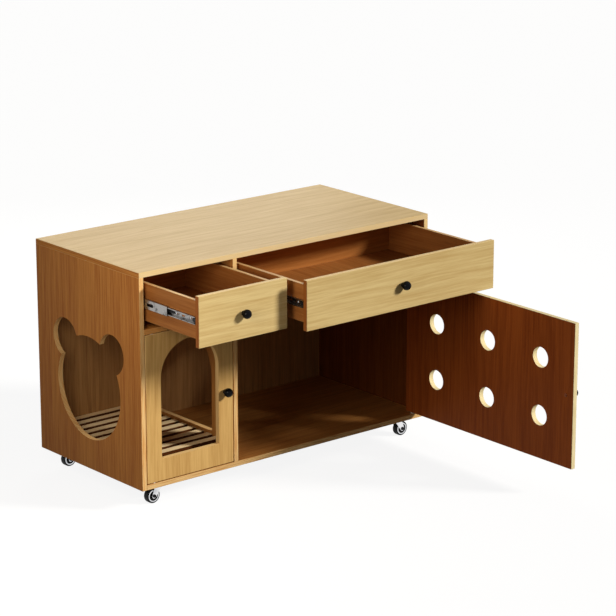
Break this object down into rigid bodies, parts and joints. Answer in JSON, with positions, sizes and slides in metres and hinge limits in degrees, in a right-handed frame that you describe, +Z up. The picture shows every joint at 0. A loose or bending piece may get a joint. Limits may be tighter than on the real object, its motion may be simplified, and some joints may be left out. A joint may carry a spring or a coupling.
{
  "type": "litter box enclosure",
  "caption": "Low wood-grain cabinet on casters that hides a litter tray, with drawers above, a vented door, an arched door and a bear-head entry in its side.",
  "frame": {"origin": "on the floor, under the middle of the carcass's footprint", "axes": "+X to the right, +Y to the back, +Z up; the doors and drawers open towards -Y"},
  "size_m": [1.05, 1.153, 0.681],
  "materials": {
    "oak_board": "satin wood-grain laminate",
    "pine_slat": "satin lacquer",
    "hardboard": "printed wood-grain foil",
    "runner_steel": "zinc plated",
    "screw_steel": "zinc plated",
    "catch_brass": "bright",
    "knob_black": "gloss lacquer",
    "nylon": "moulded",
    "caster_chrome": "bright plated",
    "wheel_black": "moulded"
  },
  "bodies": {
    "carcass": {"top_panel": "oak_board", "left_side_panel": "oak_board", "right_side_panel": "oak_board", "bottom_panel": "oak_board", "divider_panel": "oak_board", "left_drawer_shelf": "oak_board", "right_drawer_shelf": "oak_board", "back_panel": "hardboard", "slat_bearers": "oak_board", "floor_slats": "pine_slat", "cam_locks": "screw_steel", "cam_bolts": "screw_steel", "pivot_bushes": "nylon", "catch_strikes": "runner_steel", "caster_plates": "caster_chrome", "left_drawer_cabinet_runners": "runner_steel", "right_drawer_cabinet_runners": "runner_steel"},
    "small_door": {"small_door": "oak_board", "small_door_knob": "knob_black", "small_door_knob_screw": "screw_steel", "small_door_pivot_pins": "screw_steel", "small_door_ball_catch": "catch_brass"},
    "large_door": {"large_door": "oak_board", "large_door_knob": "knob_black", "large_door_knob_screw": "screw_steel", "large_door_pivot_pins": "screw_steel", "large_door_ball_catch": "catch_brass"},
    "left_drawer": {"left_drawer_front": "oak_board", "left_drawer_left_side": "oak_board", "left_drawer_right_side": "oak_board", "left_drawer_back": "oak_board", "left_drawer_bottom": "hardboard", "left_drawer_knob": "knob_black", "left_drawer_knob_screw": "screw_steel", "left_drawer_inner_runners": "runner_steel"},
    "left_middle_runners": {"left_drawer_middle_runners": "runner_steel"},
    "right_drawer": {"right_drawer_front": "oak_board", "right_drawer_left_side": "oak_board", "right_drawer_right_side": "oak_board", "right_drawer_back": "oak_board", "right_drawer_bottom": "hardboard", "right_drawer_knob": "knob_black", "right_drawer_knob_screw": "screw_steel", "right_drawer_inner_runners": "runner_steel"},
    "right_middle_runners": {"right_drawer_middle_runners": "runner_steel"},
    "front_left_caster_fork": {"front_left_caster_fork": "caster_chrome", "front_left_caster_axle": "caster_chrome"},
    "front_left_caster_wheel": {"front_left_caster_wheel": "wheel_black"},
    "front_right_caster_fork": {"front_right_caster_fork": "caster_chrome", "front_right_caster_axle": "caster_chrome"},
    "front_right_caster_wheel": {"front_right_caster_wheel": "wheel_black"},
    "back_left_caster_fork": {"back_left_caster_fork": "caster_chrome", "back_left_caster_axle": "caster_chrome"},
    "back_left_caster_wheel": {"back_left_caster_wheel": "wheel_black"},
    "back_right_caster_fork": {"back_right_caster_fork": "caster_chrome", "back_right_caster_axle": "caster_chrome"},
    "back_right_caster_wheel": {"back_right_caster_wheel": "wheel_black"}
  },
  "joints": [
    {"name": "small_door_hinge", "type": "hinge", "parent": "carcass", "child": "small_door", "pos_m": [-0.4825, -0.2375, 0.2885], "axis": [0, 0, -1], "range_deg": [0, 100]},
    {"name": "large_door_hinge", "type": "hinge", "parent": "carcass", "child": "large_door", "pos_m": [0.4825, -0.2375, 0.2885], "axis": [0, 0, 1], "range_deg": [-90, 40]},
    {"name": "left_drawer_slide", "type": "slide", "parent": "carcass", "child": "left_drawer", "axis": [0, -1, 0], "range_m": [-0.241, 0.159]},
    {"name": "left_runner_slide", "type": "slide", "parent": "carcass", "child": "left_middle_runners", "axis": [0, -1, 0], "range_m": [-0.1205, 0.0795]},
    {"name": "right_drawer_slide", "type": "slide", "parent": "carcass", "child": "right_drawer", "axis": [0, -1, 0], "range_m": [-0.3, 0.1]},
    {"name": "right_runner_slide", "type": "slide", "parent": "carcass", "child": "right_middle_runners", "axis": [0, -1, 0], "range_m": [-0.15, 0.05]},
    {"name": "front_left_caster_swivel", "type": "hinge", "parent": "carcass", "child": "front_left_caster_fork", "pos_m": [-0.447, -0.2025, 0.052], "axis": [0, 0, 1], "continuous": true},
    {"name": "front_left_caster_spin", "type": "hinge", "parent": "front_left_caster_fork", "child": "front_left_caster_wheel", "pos_m": [-0.462, -0.2025, 0.022], "axis": [0, 1, 0], "continuous": true},
    {"name": "front_right_caster_swivel", "type": "hinge", "parent": "carcass", "child": "front_right_caster_fork", "pos_m": [0.447, -0.2025, 0.052], "axis": [0, 0, 1], "continuous": true},
    {"name": "front_right_caster_spin", "type": "hinge", "parent": "front_right_caster_fork", "child": "front_right_caster_wheel", "pos_m": [0.462, -0.2025, 0.022], "axis": [0, 1, 0], "continuous": true},
    {"name": "back_left_caster_swivel", "type": "hinge", "parent": "carcass", "child": "back_left_caster_fork", "pos_m": [-0.447, 0.2025, 0.052], "axis": [0, 0, 1], "continuous": true},
    {"name": "back_left_caster_spin", "type": "hinge", "parent": "back_left_caster_fork", "child": "back_left_caster_wheel", "pos_m": [-0.462, 0.2025, 0.022], "axis": [0, 1, 0], "continuous": true},
    {"name": "back_right_caster_swivel", "type": "hinge", "parent": "carcass", "child": "back_right_caster_fork", "pos_m": [0.447, 0.2025, 0.052], "axis": [0, 0, 1], "continuous": true},
    {"name": "back_right_caster_spin", "type": "hinge", "parent": "back_right_caster_fork", "child": "back_right_caster_wheel", "pos_m": [0.462, 0.2025, 0.022], "axis": [0, 1, 0], "continuous": true}
  ],
  "couplings": [
    {"joint": "left_runner_slide", "follows": "left_drawer_slide", "ratio": 0.5},
    {"joint": "right_runner_slide", "follows": "right_drawer_slide", "ratio": 0.5}
  ]
}
